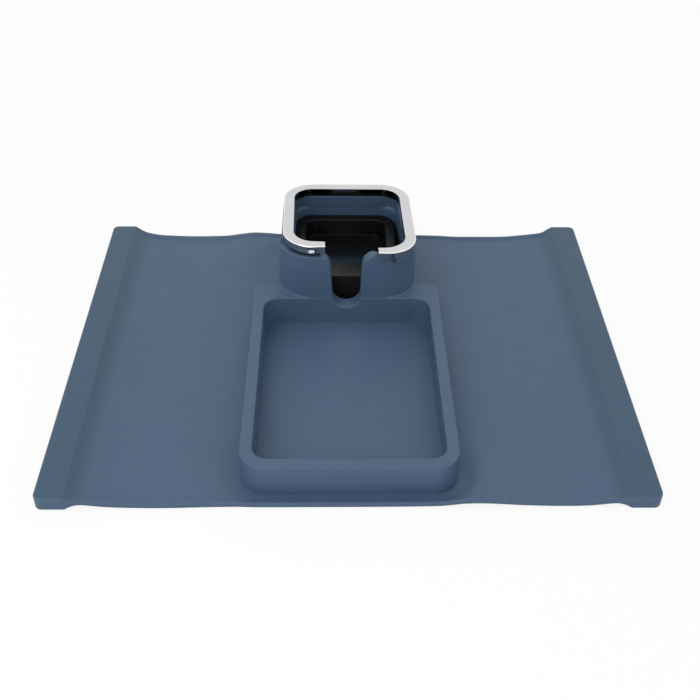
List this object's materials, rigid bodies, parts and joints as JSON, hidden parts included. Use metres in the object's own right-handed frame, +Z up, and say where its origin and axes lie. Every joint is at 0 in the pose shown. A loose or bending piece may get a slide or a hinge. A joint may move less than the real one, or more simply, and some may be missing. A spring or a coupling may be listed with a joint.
{
  "type": "sofa armrest tray mat",
  "caption": "Silicone mat that drapes over a sofa armrest, with a raised phone and snack tray, a square cup tower with a handle slot, a bright trim ring and a lift-out stepped cup insert.",
  "frame": {"origin": "centre of the footprint, on the surface that the mat lies on", "axes": "+X runs from the left end rail to the right one, +Y from the tray towards the cup tower, +Z up"},
  "size_m": [0.42, 0.336, 0.07],
  "materials": {
    "silicone": "slate-blue silicone, fine matte grain with a soft sheen on its rounded edges",
    "bar_steel": "plain mill finish, sealed inside the rails",
    "bright_plating": "bright plating, satin on the top face and mirror-like on the sides",
    "black_moulding": "glossy black moulding"
  },
  "bodies": {
    "centre": {"mat_centre": "silicone", "tray_wall": "silicone", "cup_tower": "silicone", "trim_ring": "bright_plating"},
    "left_side": {"left_wing": "silicone", "left_weight_bar": "bar_steel"},
    "right_side": {"right_wing": "silicone", "right_weight_bar": "bar_steel"},
    "insert": {"cup_insert": "black_moulding"}
  },
  "joints": [
    {"name": "left_fold", "type": "hinge", "parent": "centre", "child": "left_side", "pos_m": [-0.088, 0, 0], "axis": [0, -1, 0], "range_deg": [0, 90]},
    {"name": "right_fold", "type": "hinge", "parent": "centre", "child": "right_side", "pos_m": [0.088, 0, 0], "axis": [0, 1, 0], "range_deg": [0, 90]},
    {"name": "insert_lift", "type": "slide", "parent": "centre", "child": "insert", "axis": [0, 0, 1], "range_m": [0, 0.07]}
  ]
}
